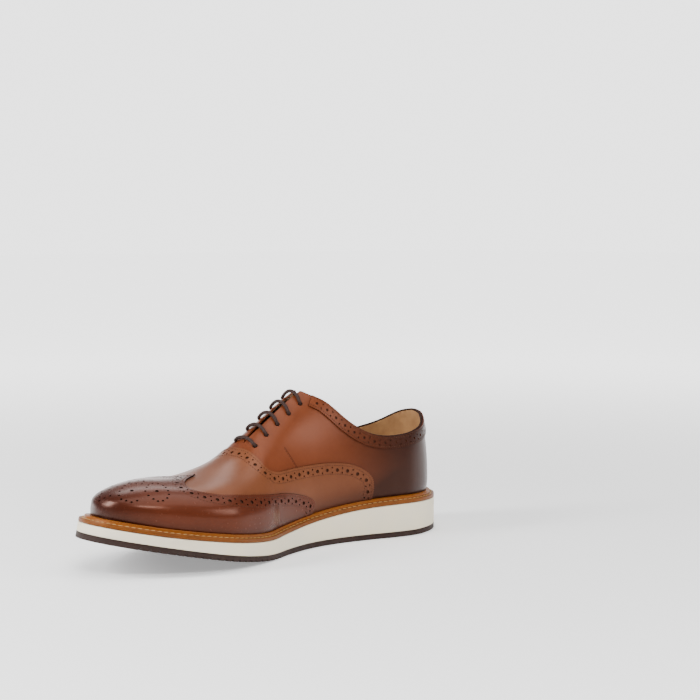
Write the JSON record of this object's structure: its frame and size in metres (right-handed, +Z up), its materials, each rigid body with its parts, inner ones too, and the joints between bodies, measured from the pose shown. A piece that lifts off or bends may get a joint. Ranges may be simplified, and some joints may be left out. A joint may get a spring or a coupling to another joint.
{
  "type": "brogue shoe",
  "caption": "Right wingtip brogue oxford in tan leather on a pale wedge midsole with a ribbed rubber outsole, laced in parallel bars, standing empty.",
  "frame": {"origin": "on the ground under the middle of the heel, on a land between two tread grooves", "axes": "+X to the toe, +Y to the medial side, +Z up from the floor"},
  "size_m": [0.2999, 0.1088, 0.1088],
  "materials": {
    "outsole": "matte ribbed rubber",
    "midsole": "matte foam",
    "welt": "natural edge, stitched",
    "insole": "natural",
    "quarter": "polished",
    "vamp": "polished",
    "cap": "burnished and polished",
    "tongue": "satin",
    "lace": "waxed cotton"
  },
  "bodies": {
    "root": {"outsole": "outsole", "midsole": "midsole", "welt": "welt", "insole": "insole", "upper": "quarter", "vamp": "vamp", "wing_cap": "cap", "collar_band": "quarter", "tongue": "tongue", "lace": "lace"}
  },
  "joints": []
}
